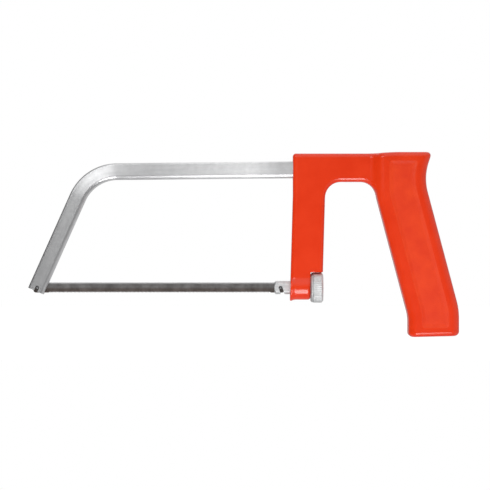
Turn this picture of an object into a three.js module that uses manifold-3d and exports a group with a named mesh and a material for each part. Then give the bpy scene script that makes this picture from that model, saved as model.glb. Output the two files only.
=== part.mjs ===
// Junior hacksaw: a bent flat-bar bow and a cast pistol-grip handle hold a pinned blade,
// which a screw and a knurled nut at the foot of the handle pull tight.
//
// Millimetres and degrees. +X runs from the toe of the bow to the hand, +Z is up and the
// blade lies in the XZ plane. The pieces are made with the screw's axis at Z = 0, and X = 0
// where that axis meets the handle's front face. At the end the saw is shifted as a whole,
// so that its origin is the middle of its box, level with the lowest point of the butt.

import * as THREE from 'three';
import { mergeVertices } from 'three/addons/utils/BufferGeometryUtils.js';
import Module from 'manifold-3d';

const wasm = await Module();
wasm.setup();

// Clearances
const socketGap = 0.25; // bar in the handle's socket, all round
const slotGap = 0.3; // blade in its slots, each side
const pinGap = 0.25; // blade pins in their grooves
const boreGap = 0.2; // screw in the boss, the washer and the nut
const seatGap = 0.1; // pressed pins, and faces that rest on each other
const nutGap = 0.5; // nut under the handle's post

// Blade and its cross pins
const bladeLength = 150;
const bladeDepth = 6;
const bladeGauge = 0.65;
const bladeCorner = 1.6;
const pinInset = 2.5; // pin's axis from the blade's end
const pinDiameter = 2;
const pinLength = 5.4;
const pinChamfer = 0.3;
const toothPitch = 0.8;
const toothDepth = 0.5;
const toothRake = 0.1; // tip behind the tooth's front root
const toothSet = 0.15; // sideways wave of the tips
const teethPerWave = 4;
const plainEnd = 9; // blade without teeth at each end

// Bow
const barDepth = 10;
const barThickness = 6;
const barOuterEdge = 1.2; // roundings of the bar's long edges
const barInnerEdge = 2.6;
const bowHeight = 70.2; // bar's axis over the screw's axis, at the handle
const bowRise = 0.57; // slope of the bar, up towards the handle
const bendRadius = 26;
const legLean = 24.1; // bow's leg from the vertical
const toeLength = 2.2; // leg beyond the pin's axis
const slotSpare = 1.5; // slot in the toe over the blade's back
const tangLength = 42; // bar inside the handle
const lockPinDiameter = 3;
const lockPinWall = 0.5;
const lockPinSlit = 0.6;
const lockPinPlace = 24; // behind the handle's front face
const lockPinBite = 1; // into the wall beyond the bar
const lockPinRecess = 0.4; // below the arm's surface

// Screw, nut and washer
const boltDiameter = 8;
const boltFlats = 6.4;
const boltChamfer = 0.8;
const boltNose = 3.6; // screw in front of the rear pin
const boltRecess = 0.3; // screw's end inside the nut
const pinReach = 5.8; // rear pin in front of the handle
const notchSlant = 18; // pin's notch from the vertical
const threadPitch = 1.25;
const looseTurns = 3; // turns that free the blade
const nutDiameter = 18;
const nutLength = 6;
const nutChamfer = 0.7;
const knurlRidges = 48;
const knurlDepth = 0.35;
const washerDiameter = 17.6;
const washerThickness = 1.4;

// Handle: arm round the bar's tang, post and boss in front
const wallOverBar = 4.45;
const wallUnderBar = 1.75;
const sideWall = 2.25;
const castEdge = 1.7; // rounding of the arm's and post's edges
const castCorner = 1.8; // rounding of their corners, seen from the side
const postWidth = 19.2;
const postLean = 1.6; // forward, below the knee
const postKnee = 8.2; // below the arm
const bossLength = 12;
const bossWall = 3.05;
const bossEdge = 1.4;
const collarProud = 0.25; // in front of the post
const collarRim = 1.05; // beyond the boss
const collarLength = 2.1;
const collarEdge = 0.35;
const guideLength = 7; // flat-sided part of the bore
const archPostRadius = 10.5;
const archGripRadius = 11;

// Handle: grip
const fingerGap = 30.3; // from the post to the grip, under the arm
const gripThickness = 21;
const gripDepth = 31.7;
const gripLength = 110.1;
const gripLean = 14.9;
const gripStep = 0.8; // grip's top over the arm
const gripKnee = 8.2; // start of the lean, below the arm
const kneeRadius = 20;
const bandFront = 12.4; // upright band at the butt, front and rear
const bandRear = 16.4;
const bandFrontRadius = 27;
const heelRadius = 40;
const thumbDrop = 15; // hollow for the thumb's web, below the top
const thumbRadius = 30;
const beakLean = 18;
const gripFrontEdge = 5; // roundings of the grip's long edges
const gripRearEdge = 8;
const gripEndEdge = 2; // roundings at the top and the butt
const buttTilt = 1.4;
const panelFrontBorder = 8.2;
const panelRearBorder = 8;
const panelEndBorder = 6.9;
const panelCorner = 2.5;
const panelDepth = 0.8;

// Facets
const arcStep = 15; // degrees of a rounding for each facet
const edgeFacets = 3; // of a flat piece's rounded edge
const ringStep = 5; // height between the grip's sections
const roundFacets = 32; // sides of a turned piece
const cutMargin = 5; // how far a cutter runs past what it cuts

const radians = THREE.MathUtils.degToRad;
const slope = (degrees) => Math.tan(radians(degrees));

// Places that several pieces share
const boltRadius = boltDiameter / 2;
const boltTravel = threadPitch * looseTurns;
const rearPin = new THREE.Vector2(-pinReach, 0);
const frontPin = new THREE.Vector2(-pinReach - (bladeLength - 2 * pinInset), 0);
const armThickness = barThickness + 2 * (socketGap + sideWall);
const armTop = bowHeight + barDepth / 2 + socketGap + wallOverBar;
const armUnder = bowHeight - barDepth / 2 - socketGap - wallUnderBar;
const postKneeLevel = armUnder - postKnee;
const postFront = (z) => slope(postLean) * Math.min(z, postKneeLevel);
const postRear = (z) => postFront(z) + postWidth;
const washerStart = bossLength + seatGap;
const nutStart = washerStart + washerThickness + seatGap;
const nutEnd = nutStart + nutLength;
const barAxis = (x) => bowHeight + slope(bowRise) * x;
const lockPin = new THREE.Vector2(lockPinPlace, barAxis(lockPinPlace));

// A closed geometry as a solid that can be joined and cut
function toSolid(geometry) {
  const bare = geometry.clone();
  bare.deleteAttribute('normal');
  bare.deleteAttribute('uv');
  const merged = mergeVertices(bare);
  const corners = merged.index.array;
  const triangles = [];
  for (let i = 0; i < corners.length; i += 3) {
    const [a, b, c] = corners.slice(i, i + 3);
    if (a !== b && b !== c && c !== a) triangles.push(a, b, c);
  }
  return new wasm.Manifold(
    new wasm.Mesh({
      numProp: 3,
      vertProperties: new Float32Array(merged.attributes.position.array),
      triVerts: new Uint32Array(triangles),
    }),
  );
}

function toGeometry(solid) {
  const mesh = solid.getMesh();
  const geometry = new THREE.BufferGeometry();
  geometry.setAttribute('position', new THREE.BufferAttribute(mesh.vertProperties, 3));
  geometry.setIndex(new THREE.BufferAttribute(mesh.triVerts, 1));
  const faceted = geometry.toNonIndexed();
  faceted.computeVertexNormals();
  return faceted;
}

const join = (first, ...others) => others.reduce((body, other) => body.add(other), first);
const cut = (body, ...tools) => tools.reduce((rest, tool) => rest.subtract(tool), body);

// The points of a path whose corners [x, z, radius] are rounded by arcs
function roundCorners(corners, closed = true) {
  const points = [];
  corners.forEach(([x, z, radius = 0], i) => {
    const corner = new THREE.Vector2(x, z);
    const isEnd = !closed && (i === 0 || i === corners.length - 1);
    if (radius === 0 || isEnd) {
      points.push(corner);
      return;
    }
    const [beforeX, beforeZ] = corners.at(i - 1);
    const [afterX, afterZ] = corners[(i + 1) % corners.length];
    const back = new THREE.Vector2(beforeX - x, beforeZ - z).normalize();
    const ahead = new THREE.Vector2(afterX - x, afterZ - z).normalize();
    const halfAngle = Math.acos(back.dot(ahead)) / 2;
    const turn = Math.PI - 2 * halfAngle;
    const side = Math.sign(ahead.cross(back));
    const inwards = back.clone().add(ahead).normalize();
    const centre = corner.clone().addScaledVector(inwards, radius / Math.sin(halfAngle));
    const start = corner.clone().addScaledVector(back, radius / Math.tan(halfAngle));
    const facets = Math.ceil(turn / radians(arcStep));
    for (let k = 0; k <= facets; k += 1) {
      points.push(start.clone().rotateAround(centre, (side * turn * k) / facets));
    }
  });
  return points;
}

// A flat piece of an outline in the XZ plane, halved by that plane, with rounded edges
function plate(outline, thickness, edge = 0) {
  const depth = thickness - 2 * edge;
  const geometry = new THREE.ExtrudeGeometry(new THREE.Shape(outline), {
    depth,
    bevelEnabled: edge > 0,
    bevelSize: edge,
    bevelThickness: edge,
    bevelOffset: -edge,
    bevelSegments: edgeFacets,
  });
  return geometry.translate(0, 0, -depth / 2).rotateX(Math.PI / 2);
}

// A turned piece on the Y axis, from its profile of [radius, place] points
function turned(profile) {
  const points = profile.map(([radius, place]) => new THREE.Vector2(radius, place));
  return new THREE.LatheGeometry(points, roundFacets);
}

const turnedOnX = (profile) => turned(profile).rotateZ(-Math.PI / 2);

// A plain round bar on the Y axis, for holes
const roundBar = (radius, from, to) => turned([[0, from], [radius, from], [radius, to], [0, to]]);

// A closed skin through rings of equal count, each running anticlockwise round the path
function loft(rings) {
  const count = rings[0].length;
  const at = (ring, k) => ring * count + (k % count);
  const triangles = [];
  for (let ring = 0; ring < rings.length - 1; ring += 1) {
    for (let k = 0; k < count; k += 1) {
      triangles.push(at(ring, k), at(ring, k + 1), at(ring + 1, k + 1));
      triangles.push(at(ring, k), at(ring + 1, k + 1), at(ring + 1, k));
    }
  }
  const last = rings.length - 1;
  for (let k = 1; k < count - 1; k += 1) {
    triangles.push(at(0, 0), at(0, k + 1), at(0, k));
    triangles.push(at(last, 0), at(last, k), at(last, k + 1));
  }
  const geometry = new THREE.BufferGeometry().setFromPoints(rings.flat());
  geometry.setIndex(triangles);
  return geometry;
}

// A groove for a cross pin: round where the pin sits, and open at the far end
function pinGroove(seat, lean, length) {
  const radius = pinDiameter / 2 + pinGap;
  const outline = new THREE.Shape();
  outline.moveTo(-radius, -length);
  outline.lineTo(radius, -length);
  outline.lineTo(radius, 0);
  outline.absarc(0, 0, radius, 0, Math.PI, false);
  const turn = new THREE.Matrix4().makeRotationY(-radians(lean));
  turn.setPosition(seat.x, 0, seat.y);
  return plate(outline.getPoints(roundFacets / 4), barThickness + boltDiameter).applyMatrix4(turn);
}

// Bow

// The bar's section at a point of its axis, where it runs at an angle over the X axis
function barRing(point, angle, grow = 0) {
  const outer = barDepth / 2 + grow;
  const flank = barThickness / 2 + grow;
  const section = roundCorners([
    [outer, flank, barOuterEdge + grow],
    [-outer, flank, barInnerEdge + grow],
    [-outer, -flank, barInnerEdge + grow],
    [outer, -flank, barOuterEdge + grow],
  ]);
  return section.map(({ x: out, y: along }) => {
    return new THREE.Vector3(point.x - Math.sin(angle) * out, -along, point.y + Math.cos(angle) * out);
  });
}

function bowGeometry() {
  const legAngle = radians(90 - legLean);
  const barAngle = radians(bowRise);
  const legRun = slope(legLean);
  const cornerX = (frontPin.x + bowHeight * legRun) / (1 - slope(bowRise) * legRun);
  const toe = new THREE.Vector2(-toeLength * Math.cos(legAngle), -toeLength * Math.sin(legAngle));
  const tangEnd = postFront(armTop) + tangLength;
  const axis = roundCorners(
    [
      [frontPin.x + toe.x, toe.y],
      [cornerX, barAxis(cornerX), bendRadius],
      [tangEnd, barAxis(tangEnd)],
    ],
    false,
  );
  const bendFacets = axis.length - 3;
  const rings = axis.map((point, i) => {
    const share = THREE.MathUtils.clamp((i - 1) / bendFacets, 0, 1);
    return barRing(point, THREE.MathUtils.lerp(legAngle, barAngle, share));
  });

  const slotRise = (bladeDepth / 2 + (barDepth / 2) * Math.cos(legAngle)) / Math.sin(legAngle);
  const slotTop = slotRise + slotSpare;
  const slotLength = slotTop + toeLength + cutMargin;
  const slot = new THREE.BoxGeometry(barDepth + cutMargin, bladeGauge + 2 * slotGap, slotLength);
  slot.translate(0, 0, slotTop - slotLength / 2);
  slot.rotateY(radians(legLean)).translate(frontPin.x, 0, frontPin.y);

  const groove = pinGroove(frontPin, -legLean, toeLength + cutMargin);
  const lockHole = roundBar(lockPinDiameter / 2 + seatGap, -armThickness, armThickness);
  lockHole.translate(lockPin.x, 0, lockPin.y);
  return toGeometry(cut(toSolid(loft(rings)), toSolid(slot), toSolid(groove), toSolid(lockHole)));
}

// The spring pin that holds the bow's tang: a rolled strip with a slit
function lockPinGeometry() {
  const outer = lockPinDiameter / 2;
  const inner = outer - lockPinWall;
  const outerSlit = Math.asin(lockPinSlit / 2 / outer);
  const innerSlit = Math.asin(lockPinSlit / 2 / inner);
  const outline = new THREE.Shape();
  outline.absarc(0, 0, outer, outerSlit, 2 * Math.PI - outerSlit, false);
  outline.absarc(0, 0, inner, 2 * Math.PI - innerSlit, innerSlit, true);
  const near = -(barThickness / 2 + socketGap + lockPinBite);
  const far = armThickness / 2 - lockPinRecess;
  const strip = plate(outline.getPoints(roundFacets / 2), far - near);
  return strip.translate(lockPin.x, (near + far) / 2, lockPin.y);
}

// Handle

// Front and rear edges of the grip, from the top down
const gripTop = armTop + gripStep;
const buttLevel = gripTop - gripLength;
const gripFront = postRear(armUnder) + fingerGap;
const kneeLevel = armUnder - gripKnee;
const gripFrontAt = (z) => gripFront + slope(gripLean) * (kneeLevel - z);
const bandFrontX = gripFrontAt(buttLevel + bandFront);
const bandRearX = gripFrontAt(buttLevel + bandRear) + gripDepth;
const thumbLevel = gripTop - thumbDrop;
const thumbX = gripFrontAt(thumbLevel) + gripDepth;
const frontEdge = roundCorners(
  [
    [gripFront, gripTop],
    [gripFront, kneeLevel, kneeRadius],
    [bandFrontX, buttLevel + bandFront, bandFrontRadius],
    [bandFrontX, buttLevel],
  ],
  false,
);
const rearEdge = roundCorners(
  [
    [thumbX + slope(beakLean) * thumbDrop, gripTop],
    [thumbX, thumbLevel, thumbRadius],
    [bandRearX, buttLevel + bandRear, heelRadius],
    [bandRearX, buttLevel],
  ],
  false,
);

// Where an edge that runs downwards crosses a height
function edgeAt(edge, z) {
  const next = Math.max(1, edge.findIndex((point) => point.y <= z));
  const [upper, lower] = [edge[next - 1], edge[next]];
  return THREE.MathUtils.mapLinear(z, upper.y, lower.y, upper.x, lower.x);
}

// Evenly spaced values from one to another, both included
function steps(from, to, longest) {
  const count = Math.ceil(Math.abs(to - from) / longest);
  return Array.from({ length: count + 1 }, (_, i) => THREE.MathUtils.lerp(from, to, i / count));
}

// A level section through the grip, drawn in on all sides, near the ends, by an inset
function gripRing(z, inset) {
  const front = edgeAt(frontEdge, z) + inset;
  const rear = edgeAt(rearEdge, z) - inset;
  const flank = gripThickness / 2 - inset;
  const section = roundCorners([
    [rear, flank, gripRearEdge],
    [front, flank, gripFrontEdge],
    [front, -flank, gripFrontEdge],
    [rear, -flank, gripRearEdge],
  ]);
  const tilt = slope(buttTilt) * Math.max(0, (kneeLevel - z) / (kneeLevel - buttLevel));
  return section.map(({ x, y }) => new THREE.Vector3(x, y, z + tilt * (x - bandFrontX)));
}

function gripGeometry() {
  const rounding = steps(0, 90, 30).map(radians);
  const rise = rounding.map((angle) => gripEndEdge * (1 - Math.cos(angle)));
  const inset = rounding.map((angle) => gripEndEdge * (1 - Math.sin(angle)));
  const middle = steps(buttLevel + gripEndEdge, gripTop - gripEndEdge, ringStep).slice(1, -1);
  const butt = rise.map((height, i) => gripRing(buttLevel + height, inset[i]));
  const top = rise.map((height, i) => gripRing(gripTop - height, inset[i])).reverse();
  return loft([...butt, ...middle.map((z) => gripRing(z, 0)), ...top]);
}

// The sunk panel on each flank, which follows the grip's edges inside a border
function panelCutter(side) {
  const low = buttLevel + panelEndBorder;
  const high = gripTop - panelEndBorder;
  const levels = steps(high, low, 2 * ringStep);
  const corner = (z) => (z === low || z === high ? panelCorner : 0);
  const front = levels.map((z) => [edgeAt(frontEdge, z) + panelFrontBorder, z, corner(z)]);
  const rear = levels.map((z) => [edgeAt(rearEdge, z) - panelRearBorder, z, corner(z)]);
  const thickness = panelDepth + cutMargin;
  const floor = gripThickness / 2 - panelDepth;
  const outline = roundCorners([...front, ...rear.reverse()]);
  return plate(outline, thickness).translate(0, side * (floor + thickness / 2), 0);
}

// The boss that guides the screw, with a collar on its front
function bossGeometry() {
  const boss = boltRadius + boreGap + bossWall;
  const collar = boss + collarRim;
  const collarEnd = collarLength - collarProud;
  const profile = roundCorners(
    [
      [0, -collarProud],
      [collar, -collarProud, collarEdge],
      [collar, collarEnd],
      [boss, collarEnd],
      [boss, bossLength, bossEdge],
      [0, bossLength],
    ],
    false,
  );
  return turnedOnX(profile.map(({ x, y }) => [x, y]));
}

// The arm over the bar's tang and the post down to the boss
function armAndPostGeometry() {
  const nutRoof = nutDiameter / 2 + nutGap;
  const bossEnd = bossLength - castEdge / 2;
  const archEnd = armUnder - archGripRadius - castEdge / 2;
  const insideGrip = gripFront + gripDepth / 2;
  const archX = gripFront + castEdge / 2;
  const outline = roundCorners([
    [postFront(armTop), armTop, castCorner],
    [postFront(postKneeLevel), postKneeLevel],
    [postFront(0), 0],
    [bossEnd, 0],
    [bossEnd, nutRoof, castEdge],
    [postRear(nutRoof), nutRoof, castCorner],
    [postRear(armUnder), armUnder, archPostRadius],
    [archX, armUnder, archGripRadius],
    [archX, archEnd],
    [insideGrip, archEnd],
    [insideGrip, armTop],
  ]);
  return plate(outline, armThickness, castEdge);
}

// A round bar on the X axis with two flats from its front end to flatsEnd
function flattedBar(radius, flats, profile, flatsEnd) {
  const front = profile[0][1];
  const length = flatsEnd - front + cutMargin;
  const trims = [-1, 1].map((side) => {
    const trim = new THREE.BoxGeometry(length, radius, 4 * radius);
    return toSolid(trim.translate(flatsEnd - length / 2, side * (flats / 2 + radius / 2), 0));
  });
  return cut(toSolid(turnedOnX(profile)), ...trims);
}

function handleGeometry() {
  const casting = join(
    toSolid(armAndPostGeometry()),
    toSolid(bossGeometry()),
    toSolid(gripGeometry()),
  );
  const angle = radians(bowRise);
  const socketEnd = postFront(armTop) + tangLength + socketGap;
  const socketEnds = [-cutMargin, socketEnd].map((x) => new THREE.Vector2(x, barAxis(x)));
  const socket = loft(socketEnds.map((point) => barRing(point, angle, socketGap)));
  const bore = boltRadius + boreGap;
  const boreProfile = [[0, -cutMargin], [bore, -cutMargin], [bore, bossLength + cutMargin]];
  boreProfile.push([0, bossLength + cutMargin]);
  const screwBore = flattedBar(bore, boltFlats + 2 * boreGap, boreProfile, guideLength);
  const lockDepth = barThickness / 2 + socketGap + lockPinBite + seatGap;
  const lockHole = roundBar(lockPinDiameter / 2 + seatGap, -lockDepth, armThickness);
  lockHole.translate(lockPin.x, 0, lockPin.y);
  const panels = [-1, 1].map((side) => toSolid(panelCutter(side)));
  return toGeometry(cut(casting, toSolid(socket), screwBore, toSolid(lockHole), ...panels));
}

// Screw, nut and washer

function boltGeometry() {
  const front = rearPin.x - boltNose;
  const end = nutEnd - boltRecess;
  const tip = boltRadius - boltChamfer;
  const profile = [[0, front], [tip, front], [boltRadius, front + boltChamfer]];
  profile.push([boltRadius, end - boltChamfer], [tip, end], [0, end]);
  const flatsEnd = guideLength + boltTravel + boltChamfer;
  const screw = flattedBar(boltRadius, boltFlats, profile, flatsEnd);

  // The slot reaches behind the blade's tail by as much as the screw advances
  // while the tail drops out of it.
  const tailDrop = boltRadius + bladeDepth / 2;
  const slotEnd = rearPin.x + pinInset + tailDrop * slope(notchSlant) + 2 * slotGap;
  const slotLength = slotEnd - front + cutMargin;
  const slot = new THREE.BoxGeometry(slotLength, bladeGauge + 2 * slotGap, 2 * boltDiameter);
  slot.translate(slotEnd - slotLength / 2, 0, 0);
  const notch = pinGroove(rearPin, notchSlant, boltDiameter);
  return toGeometry(cut(screw, toSolid(slot), toSolid(notch)));
}

function nutGeometry() {
  const outline = new THREE.Shape();
  for (let k = 0; k < 2 * knurlRidges; k += 1) {
    const radius = nutDiameter / 2 - (k % 2) * knurlDepth;
    const angle = (Math.PI * k) / knurlRidges;
    const step = k === 0 ? 'moveTo' : 'lineTo';
    outline[step](radius * Math.cos(angle), radius * Math.sin(angle));
  }
  const bore = new THREE.Path();
  bore.absarc(0, 0, boltRadius + boreGap, 0, 2 * Math.PI, true);
  outline.holes.push(bore);
  const geometry = new THREE.ExtrudeGeometry(outline, {
    depth: nutLength - 2 * nutChamfer,
    curveSegments: roundFacets,
    bevelSize: nutChamfer,
    bevelThickness: nutChamfer,
    bevelOffset: -nutChamfer,
    bevelSegments: 1,
  });
  return geometry.translate(0, 0, nutStart + nutChamfer).rotateY(Math.PI / 2);
}

function washerGeometry() {
  const hole = boltRadius + boreGap;
  const rim = washerDiameter / 2;
  const end = washerStart + washerThickness;
  const profile = [[hole, washerStart], [rim, washerStart], [rim, end], [hole, end], [hole, washerStart]];
  return turnedOnX(profile);
}

// Blade

// Places along the blade, each with its upper and lower edge. A tooth hangs between two
// neighbours in the toothed stretch, with its steep face towards the toe.
function bladeStations() {
  const toeEnd = frontPin.x - pinInset;
  const tailEnd = rearPin.x + pinInset;
  const half = bladeDepth / 2;
  const corner = steps(0, 90, 2 * arcStep).map((angle) => ({
    inset: bladeCorner * (1 - Math.sin(radians(angle))),
    height: half - bladeCorner * (1 - Math.cos(radians(90 - angle))),
  }));
  const toothedEnd = tailEnd - plainEnd;
  const teeth = Math.floor((toothedEnd - toeEnd - plainEnd) / toothPitch);
  const firstTooth = toothedEnd - teeth * toothPitch;
  const root = toothDepth - half;
  const toe = corner.map(({ inset, height }) => ({ x: toeEnd + inset, top: height, low: -height }));
  const tail = corner.map(({ inset, height }) => ({ x: tailEnd - inset, top: height, low: -height }));
  const toothed = Array.from({ length: teeth + 1 }, (_, i) => {
    return { x: firstTooth + i * toothPitch, top: half, low: root, toothed: i < teeth, number: i };
  });
  const shoulders = [firstTooth - toothPitch, toothedEnd + toothPitch].map((x) => {
    return { x, top: half, low: -half };
  });
  return [...toe.reverse(), shoulders[0], ...toothed, shoulders[1], ...tail];
}

function bladeGeometry() {
  const flank = bladeGauge / 2;
  const positions = [];
  const quad = (a, b, c, d) => positions.push(...a, ...b, ...c, ...a, ...c, ...d);
  const stations = bladeStations();
  const upper = ({ x, top }, side) => [x, side * flank, top];
  const lower = ({ x, low }, side) => [x, side * flank, low];
  const tip = ({ x, number }, side) => {
    const wave = toothSet * Math.sin((2 * Math.PI * (number + 0.5)) / teethPerWave);
    return [x + toothRake * toothPitch, side * flank + wave, -bladeDepth / 2];
  };

  for (let i = 0; i < stations.length - 1; i += 1) {
    const [here, next] = [stations[i], stations[i + 1]];
    quad(upper(here, -1), lower(here, -1), lower(next, -1), upper(next, -1));
    quad(upper(here, 1), upper(next, 1), lower(next, 1), lower(here, 1));
    quad(upper(here, -1), upper(next, -1), upper(next, 1), upper(here, 1));
    if (here.toothed) {
      positions.push(...lower(here, -1), ...tip(here, -1), ...lower(next, -1));
      positions.push(...lower(here, 1), ...lower(next, 1), ...tip(here, 1));
      quad(lower(here, -1), lower(here, 1), tip(here, 1), tip(here, -1));
      quad(tip(here, -1), tip(here, 1), lower(next, 1), lower(next, -1));
    } else {
      quad(lower(here, -1), lower(here, 1), lower(next, 1), lower(next, -1));
    }
  }
  const [first, last] = [stations[0], stations.at(-1)];
  quad(upper(first, 1), lower(first, 1), lower(first, -1), upper(first, -1));
  quad(upper(last, -1), lower(last, -1), lower(last, 1), upper(last, 1));

  const strip = new THREE.BufferGeometry();
  strip.setAttribute('position', new THREE.Float32BufferAttribute(positions, 3));
  const holes = [frontPin, rearPin].map((pin) => {
    const hole = roundBar(pinDiameter / 2 + seatGap, -pinLength, pinLength);
    return toSolid(hole.translate(pin.x, 0, pin.y));
  });
  return toGeometry(cut(toSolid(strip), ...holes));
}

function bladePinGeometry() {
  const radius = pinDiameter / 2;
  const end = pinLength / 2;
  const face = radius - pinChamfer;
  const shoulder = end - pinChamfer;
  const half = [[radius, shoulder], [face, end], [0, end]];
  const profile = [[0, -end], [face, -end], [radius, -shoulder], ...half];
  return turned(profile);
}

// Finishes
const redLacquer = { color: 0xe23c17, roughness: 0.25, metalness: 0 };
const platedBar = { color: 0xb9bcbd, roughness: 0.35, metalness: 1 };
const bladeSteel = { color: 0x6e6c6b, roughness: 0.45, metalness: 1 };
const platedSteel = { color: 0xcccecf, roughness: 0.3, metalness: 1 };
const pinSteel = { color: 0x8d8f90, roughness: 0.4, metalness: 1 };

// The saw
const saw = new THREE.Group();

function addPiece(parent, name, geometry, finish, place = new THREE.Vector2()) {
  const mesh = new THREE.Mesh(geometry, new THREE.MeshStandardMaterial(finish));
  mesh.name = name;
  mesh.position.set(place.x, 0, place.y);
  parent.add(mesh);
}

const frame = new THREE.Group();
addPiece(frame, 'handle', handleGeometry(), redLacquer);
addPiece(frame, 'bow', bowGeometry(), platedBar);
addPiece(frame, 'bow_lock_pin', lockPinGeometry(), pinSteel);
addPiece(frame, 'thrust_washer', washerGeometry(), platedSteel);

const tensioner = new THREE.Group();
addPiece(tensioner, 'tension_nut', nutGeometry(), platedSteel);
addPiece(tensioner, 'tension_bolt', boltGeometry(), platedSteel);

const bladeSet = new THREE.Group();
addPiece(bladeSet, 'saw_blade', bladeGeometry(), bladeSteel);
addPiece(bladeSet, 'front_blade_pin', bladePinGeometry(), pinSteel, frontPin);
addPiece(bladeSet, 'rear_blade_pin', bladePinGeometry(), pinSteel, rearPin);

saw.add(frame, tensioner, bladeSet);
const box = new THREE.Box3().setFromObject(saw);
const middle = box.getCenter(new THREE.Vector3());
saw.position.set(-middle.x, -middle.y, -box.min.z);

export default saw;
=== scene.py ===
# %% [markdown]
# # A junior hacksaw in Blender
# The saw has nine pieces: a cast handle, a bow bent from flat bar, a hidden pin that holds the bow, a
# tensioner of screw, nut and washer, and a blade with a cross pin at each end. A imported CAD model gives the
# size, the place and the motion of each piece. This lesson gives each its finished surface, and lights
# them.

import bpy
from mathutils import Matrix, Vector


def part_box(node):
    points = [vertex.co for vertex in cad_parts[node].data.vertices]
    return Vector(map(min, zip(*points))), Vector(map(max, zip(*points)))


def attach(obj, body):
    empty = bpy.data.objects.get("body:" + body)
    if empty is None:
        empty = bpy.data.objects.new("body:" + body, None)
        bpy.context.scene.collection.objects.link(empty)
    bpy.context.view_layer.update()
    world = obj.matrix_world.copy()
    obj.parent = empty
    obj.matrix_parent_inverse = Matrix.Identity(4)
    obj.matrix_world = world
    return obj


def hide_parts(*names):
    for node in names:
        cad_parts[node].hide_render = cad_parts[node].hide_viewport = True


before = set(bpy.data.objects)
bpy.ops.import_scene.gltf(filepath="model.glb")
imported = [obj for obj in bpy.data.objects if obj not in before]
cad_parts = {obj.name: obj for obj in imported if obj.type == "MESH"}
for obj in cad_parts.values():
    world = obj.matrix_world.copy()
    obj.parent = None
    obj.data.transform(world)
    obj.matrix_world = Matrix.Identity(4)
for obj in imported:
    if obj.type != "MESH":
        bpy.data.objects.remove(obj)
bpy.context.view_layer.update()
print("nodes:", ", ".join(sorted(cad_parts)))

# %% [markdown]
# ## One set of coordinates
# A toolmaker measures a saw from the line that the blade pulls on. So every piece here is drawn in
# millimetres from the point where the screw's axis meets the handle: X runs back to the hand, Z up, Y
# across. The frame says where that point is, and one helper turns a drawing into the frame's metres.

# %% The drawing's origin
import itertools
import math

import bmesh
import bpy
import numpy as np
from mathutils import Matrix, Vector

mm = 0.001
seat_gap = 0.1
boss_length = 12
bolt_low, bolt_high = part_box("tension_bolt")
washer_low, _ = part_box("thrust_washer")
screw_height = (bolt_low.z + bolt_high.z) / 2
handle_face = washer_low.x - (boss_length + seat_gap) * mm
origin = np.array([handle_face, 0, screw_height])
print("origin of the drawing, in metres:", origin.round(4))

# %% Helpers for meshes


def to_frame(points):
    """Points of the drawing, in millimetres, as metres of the frame."""
    return np.asarray(points, float) * mm + origin


def node_box(node):
    """The lowest and highest corner of a CAD node, in millimetres of the drawing."""
    return [(np.array(corner) - origin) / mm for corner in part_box(node)]


def add_object(name, data):
    """A new object in the scene, at the frame's origin."""
    piece = bpy.data.objects.new(name, data)
    bpy.context.scene.collection.objects.link(piece)
    return piece


def mesh_object(name, points, faces):
    """A new object from points of the drawing. Its place is in its mesh."""
    mesh = bpy.data.meshes.new(name)
    mesh.from_pydata(to_frame(points).tolist(), [], [list(face) for face in faces])
    mesh.validate()
    return add_object(name, mesh)


def skin(rings, count):
    """Faces between rings of points, each ring closed on itself and joined to the next."""
    faces = []
    for ring, k in itertools.product(range(rings - 1), range(count)):
        low, high = ring * count, (ring + 1) * count
        following = (k + 1) % count
        faces.append((low + k, low + following, high + following, high + k))
    return faces


def tube(rings, count):
    """The faces of a skin, with a cap on its first and its last ring."""
    last = (rings - 1) * count
    return [*skin(rings, count), range(count)[::-1], range(last, last + count)]


def shade(piece, sharp_angle=30):
    """Smooth shading, with hard edges where two faces meet at more than an angle."""
    work = bmesh.new()
    work.from_mesh(piece.data)
    bmesh.ops.recalc_face_normals(work, faces=work.faces)
    for face in work.faces:
        face.smooth = True
    for edge in work.edges:
        edge.smooth = edge.calc_face_angle(math.pi) < math.radians(sharp_angle)
    work.to_mesh(piece.data)
    work.free()


def bake_modifiers(piece):
    """The piece with its modifiers turned into a plain mesh."""
    depsgraph = bpy.context.evaluated_depsgraph_get()
    mesh = bpy.data.meshes.new_from_object(piece.evaluated_get(depsgraph))
    piece.modifiers.clear()
    piece.data = mesh
    return piece


def dress(piece, node, body, material):
    """Puts a finished piece in the place of its CAD node."""
    piece.data.materials.clear()
    piece.data.materials.append(material)
    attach(piece, body)
    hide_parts(node)
    print(f"{piece.name}: {len(piece.data.polygons)} faces, rides on {body}")


# %% [markdown]
# ## Finishes
# A material here is a small node tree on a Principled shader. The patterns read Object coordinates, because
# each piece keeps its place in its mesh, or a UV map where they have to follow a bent bar. They only touch
# colour, roughness and bump: every shape that shows from the side is in the meshes. The helpers let a
# node's output be added and multiplied like a number, so that a tree reads as a formula. They serve the
# geometry trees and the sky too.

# %% Helpers for node trees


class Link:
    """An output of a node. A sum written with it adds a node to its tree."""

    def __init__(self, socket):
        self.socket = socket

    def __add__(self, other):
        return calc("ADD", self, other)

    def __sub__(self, other):
        return calc("SUBTRACT", self, other)

    def __mul__(self, other):
        return calc("MULTIPLY", self, other)

    def __truediv__(self, other):
        return calc("DIVIDE", self, other)


def plug(socket, value):
    """Joins a socket to a link, or sets it to a plain value."""
    if isinstance(value, Link):
        socket.id_data.links.new(value.socket, socket)
    else:
        socket.default_value = value


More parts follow.
